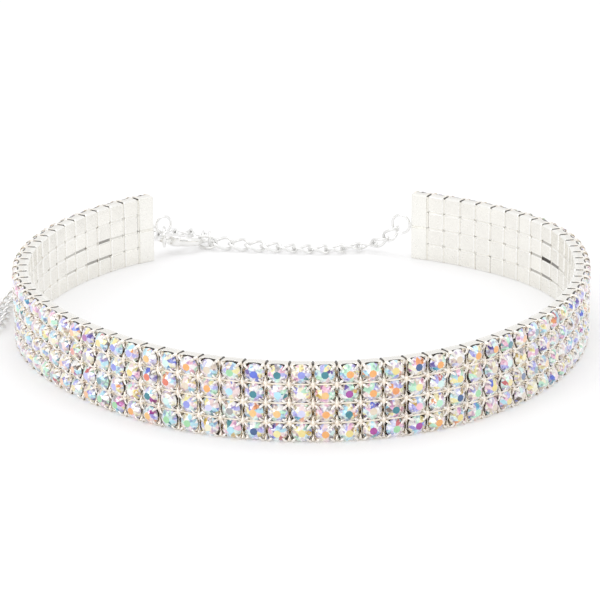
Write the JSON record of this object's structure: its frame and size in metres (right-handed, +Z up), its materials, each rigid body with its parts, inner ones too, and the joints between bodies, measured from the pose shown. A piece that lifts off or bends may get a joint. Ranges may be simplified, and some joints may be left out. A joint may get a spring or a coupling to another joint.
{
  "type": "choker necklace",
  "caption": "Choker band of square-set crystals in rows, closed by a lobster clasp and a curb extender chain, standing on its lower edge.",
  "frame": {"origin": "middle of the foot: centre of the bounding box, on the surface that the choker stands on", "axes": "+Z up, the front of the choker towards -Y, the clasp and the extender chain towards +Y, the clasp on the -X side"},
  "size_m": [0.1264, 0.1342, 0.0151],
  "materials": {
    "band_silver": "polished",
    "ring_silver": "polished",
    "clasp_silver": "polished",
    "lever_silver": "polished",
    "chain_silver": "polished"
  },
  "bodies": {
    "necklace": {"stone_band": "band_silver", "jump_ring": "ring_silver", "clasp_body": "clasp_silver", "extender_chain": "chain_silver"},
    "lever": {"clasp_lever": "lever_silver"}
  },
  "joints": [
    {"name": "lever_hinge", "type": "hinge", "parent": "necklace", "child": "lever", "pos_m": [-0.02543, 0.05406, 0.00305], "axis": [0.1357, 0.094, 0.9863], "range_deg": [-22, 0], "stiffness_Nm_per_rad": 0.004, "springref_deg": 11.46}
  ]
}
